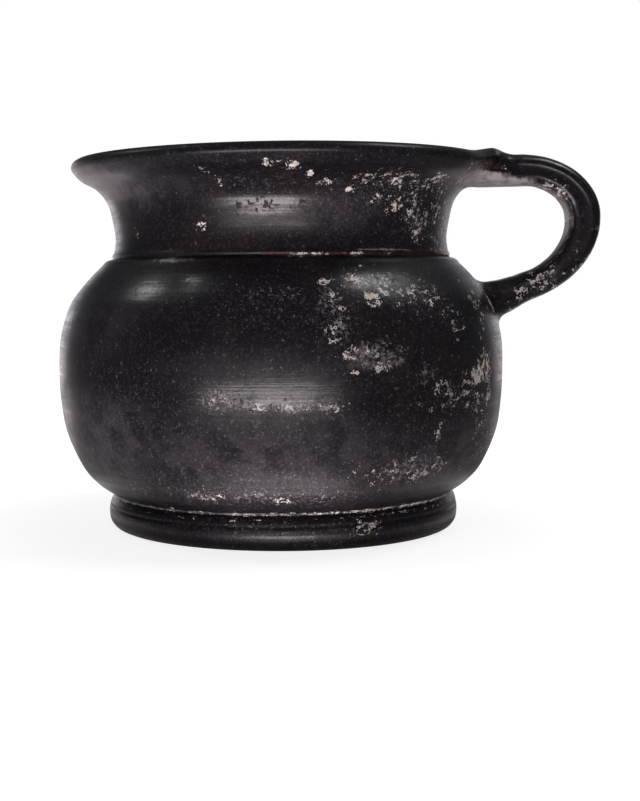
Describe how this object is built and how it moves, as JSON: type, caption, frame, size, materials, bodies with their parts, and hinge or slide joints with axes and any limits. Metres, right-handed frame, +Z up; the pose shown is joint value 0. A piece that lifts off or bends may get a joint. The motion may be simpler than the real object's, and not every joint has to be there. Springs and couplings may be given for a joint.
{
  "type": "black-glossed olpe",
  "caption": "Squat one-handled ceramic jug, hollow, with a wide flaring mouth, a moulded ring foot and a strap handle from lip to shoulder.",
  "frame": {"origin": "on the resting plane, under the middle of the whole footprint from the belly's far side to the back of the handle; the body's own axis is 11.98 mm from it, towards -X", "axes": "+Z up, +X from the body towards the handle, +Y the side away from a viewer who has the handle on the right"},
  "size_m": [0.1334, 0.1094, 0.0928],
  "materials": {
    "black_gloss": "worn black gloss on red clay, semi-gloss, with pale encrustation and scuffs"
  },
  "bodies": {
    "root": {"olpe": "black_gloss"}
  },
  "joints": []
}
